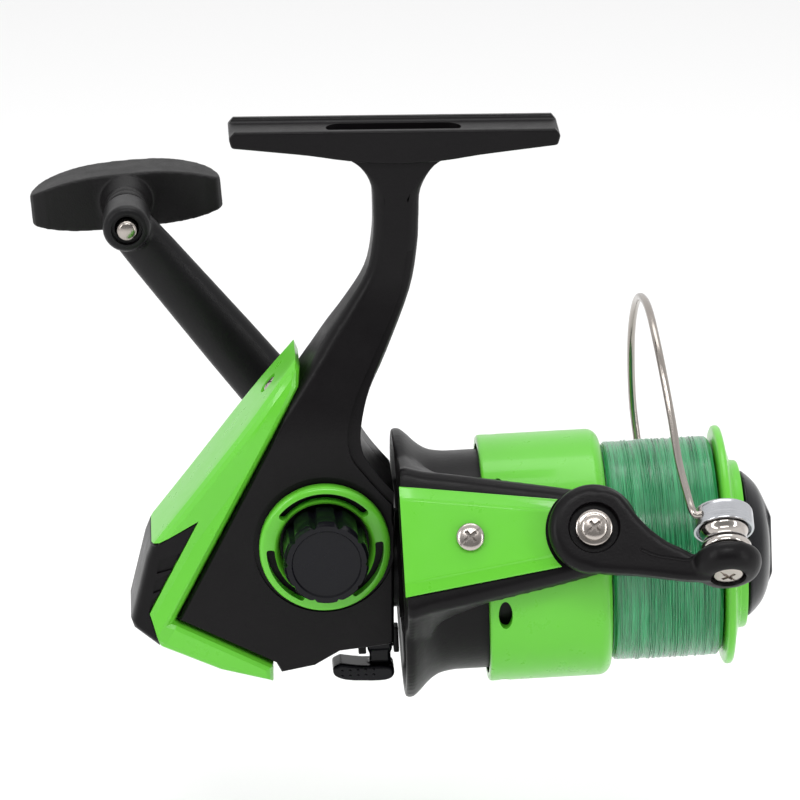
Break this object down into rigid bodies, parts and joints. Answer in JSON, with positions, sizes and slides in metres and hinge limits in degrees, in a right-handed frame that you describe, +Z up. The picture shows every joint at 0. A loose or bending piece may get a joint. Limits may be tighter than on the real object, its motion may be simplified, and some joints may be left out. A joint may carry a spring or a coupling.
{
  "type": "spinning fishing reel",
  "caption": "Open-face spinning reel with rod foot, cranked handle, two-armed rotor, wire bail, line roller, wound spool and front drag knob.",
  "frame": {"origin": "middle of the foot's seat, where the rod rests", "axes": "+X towards the spool and the rod's tip, +Z up into the rod, +Y towards the handle side"},
  "size_m": [0.161, 0.1404, 0.1283],
  "materials": {
    "black_plastic": "satin moulded",
    "green_paint": "glossy green",
    "gloss_black": "gloss",
    "grip_rubber": "matte",
    "painted_metal": "satin black",
    "steel": "nickel",
    "chrome": "polished",
    "aluminium": "satin",
    "brass": "machined",
    "line": "clear green nylon",
    "felt": "pressed"
  },
  "bodies": {
    "reel_body": {"body_housing": "black_plastic", "side_cover": "black_plastic", "side_cover_screw_1": "steel", "side_cover_screw_2": "steel", "side_cover_screw_3": "steel", "rear_cover": "green_paint", "rear_cover_screw": "steel", "rear_bumper": "black_plastic", "axle_bezel": "green_paint", "near_axle_bearing": "steel", "far_axle_bearing": "steel", "pinion_bearing": "steel", "one_way_clutch": "gloss_black", "clutch_retainer": "steel"},
    "drive_train": {"drive_gear": "aluminium", "oscillation_pinion": "brass", "handle_shaft": "steel", "handle_cap": "gloss_black", "handle_arm": "painted_metal", "knob_spindle": "steel"},
    "knob": {"knob_grip": "grip_rubber"},
    "oscillation": {"oscillation_gear": "gloss_black"},
    "rotor_body": {"rotor": "black_plastic", "pinion_gear": "brass", "rotor_nut": "steel", "near_arm_cover": "green_paint", "near_arm_cover_screw": "steel", "far_arm_cover": "green_paint", "far_arm_cover_screw": "steel", "bail_spring": "steel"},
    "trip_lever": {"bail_trip_lever": "gloss_black"},
    "bail": {"bail_arm": "black_plastic", "bail_arm_screw": "steel", "bail_arm_washer": "steel", "roller_bush": "gloss_black", "roller_screw": "chrome", "wire_holder": "aluminium", "bail_wire": "chrome", "bail_holder": "black_plastic", "bail_holder_screw": "steel"},
    "roller": {"line_roller": "chrome"},
    "shaft": {"main_shaft": "steel", "oscillation_slider": "gloss_black", "slider_screw": "steel", "spool_seat": "gloss_black"},
    "spool_body": {"spool": "green_paint", "line_winding": "line", "drag_washer_felt_1": "felt", "drag_washer_felt_2": "felt", "drag_washer_felt_3": "felt", "drag_washer_steel_1": "steel", "drag_washer_steel_2": "steel"},
    "drag": {"drag_knob": "gloss_black", "drag_nut": "steel", "drag_spring": "steel"},
    "anti_reverse": {"anti_reverse_lever": "gloss_black"}
  },
  "joints": [
    {"name": "handle_crank", "type": "hinge", "parent": "reel_body", "child": "drive_train", "pos_m": [-0.0154, 0, -0.0895], "axis": [0, 1, 0], "continuous": true},
    {"name": "rotor_spin", "type": "hinge", "parent": "reel_body", "child": "rotor_body", "pos_m": [0, 0, -0.09798], "axis": [0.999, 0, 0.0436], "continuous": true},
    {"name": "oscillation_spin", "type": "hinge", "parent": "reel_body", "child": "oscillation", "pos_m": [-0.0284, 0, -0.0974], "axis": [0, 1, 0], "continuous": true},
    {"name": "knob_spin", "type": "hinge", "parent": "drive_train", "child": "knob", "pos_m": [-0.0569, 0.0636, -0.0385], "axis": [0, 1, 0], "continuous": true},
    {"name": "bail_flip", "type": "hinge", "parent": "rotor_body", "child": "bail", "pos_m": [0.04166, 0, -0.09616], "axis": [0.0198, 0.891, -0.4536], "range_deg": [0, 110]},
    {"name": "trip_slide", "type": "slide", "parent": "rotor_body", "child": "trip_lever", "axis": [-0.999, 0, -0.0436], "range_m": [0, 0.003]},
    {"name": "roller_spin", "type": "hinge", "parent": "bail", "child": "roller", "pos_m": [0.06838, -0.03028, -0.07775], "axis": [-0.0297, 0.7314, 0.6813], "continuous": true},
    {"name": "spool_stroke", "type": "slide", "parent": "reel_body", "child": "shaft", "axis": [0.999, 0, 0.0436], "range_m": [0, 0.011]},
    {"name": "drag_slip", "type": "hinge", "parent": "shaft", "child": "spool_body", "pos_m": [0.05795, 0, -0.09545], "axis": [0.999, 0, 0.0436], "continuous": true},
    {"name": "drag_knob_turn", "type": "hinge", "parent": "shaft", "child": "drag", "pos_m": [0.07593, 0, -0.09466], "axis": [0.999, 0, 0.0436], "continuous": true},
    {"name": "anti_reverse_turn", "type": "hinge", "parent": "reel_body", "child": "anti_reverse", "pos_m": [0.00079, 0, -0.11616], "axis": [0.999, 0, 0.0436], "range_deg": [-20, 20]}
  ],
  "couplings": [
    {"joint": "rotor_spin", "follows": "handle_crank", "ratio": 5.1429},
    {"joint": "oscillation_spin", "follows": "handle_crank", "ratio": -0.58333},
    {"joint": "trip_slide", "follows": "bail_flip", "m_per_rad": 0.00156}
  ]
}
